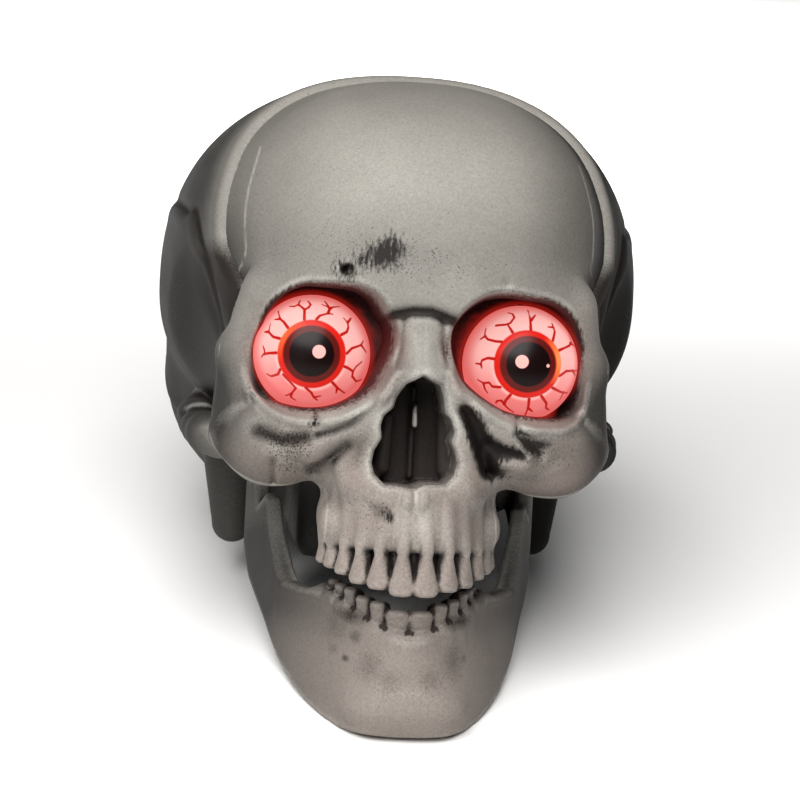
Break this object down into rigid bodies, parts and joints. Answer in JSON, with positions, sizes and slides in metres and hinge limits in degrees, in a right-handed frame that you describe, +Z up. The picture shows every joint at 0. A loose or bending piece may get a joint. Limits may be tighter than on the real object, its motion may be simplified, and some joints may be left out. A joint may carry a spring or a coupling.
{
  "type": "halloween skull decoration",
  "caption": "Life-size grey moulded skull with glowing bloodshot eyes and a hinged jaw that stays where it is put, standing leaned back on its chin and heel.",
  "frame": {"origin": "on the standing surface, under the middle of the skull's outline", "axes": "+Z up, +X to the right of someone facing the skull, the face towards -Y"},
  "size_m": [0.1466, 0.2048, 0.1615],
  "materials": {
    "bone": "blow-moulded plastic painted bone grey, with a dark brown wash and speckle",
    "lit_eye": "milky plastic lit from inside, printed with red veins and a dark iris",
    "black_plastic": "moulded",
    "grey_plastic": "moulded",
    "led": "clear red lens",
    "red_lead": "insulated wire",
    "black_lead": "insulated wire",
    "steel": "zinc plated",
    "cell_jacket": "plain jacket",
    "board": "solder mask"
  },
  "bodies": {
    "skull": {"face_shell": "bone", "rear_shell": "bone", "eyeball_left": "lit_eye", "eyeball_right": "lit_eye", "eye_cup_left": "black_plastic", "eye_cup_right": "black_plastic", "switch_body": "black_plastic", "base_plate": "grey_plastic", "led_left": "led", "led_right": "led", "eye_lead_left": "red_lead", "eye_lead_right": "red_lead", "battery_lead_plus": "red_lead", "switch_lead": "black_lead", "battery_lead_minus": "black_lead", "pivot_washer_left": "steel", "pivot_washer_right": "steel", "pivot_screw_left": "steel", "pivot_screw_right": "steel", "base_screw_1": "steel", "base_screw_2": "steel", "base_screw_3": "steel", "base_screw_4": "steel", "coil_contact_front": "steel", "coil_contact_rear": "steel", "contact_bridge": "steel", "contact_plus": "steel", "contact_minus": "steel", "cell_left": "cell_jacket", "cell_right": "cell_jacket", "circuit_board": "board"},
    "jaw": {"jaw": "bone"},
    "knob": {"switch_knob": "black_plastic"},
    "door": {"battery_door": "grey_plastic", "door_screw": "steel"}
  },
  "joints": [
    {"name": "jaw_hinge", "type": "hinge", "parent": "skull", "child": "jaw", "pos_m": [0, -0.01061, 0.04623], "axis": [1, 0, 0], "range_deg": [0, 16]},
    {"name": "switch_slide", "type": "slide", "parent": "skull", "child": "knob", "axis": [0, 0.951, -0.3093], "range_m": [-0.003, 0]},
    {"name": "door_lift", "type": "slide", "parent": "skull", "child": "door", "axis": [0, -0.3093, -0.951], "range_m": [0, 0.03]}
  ]
}
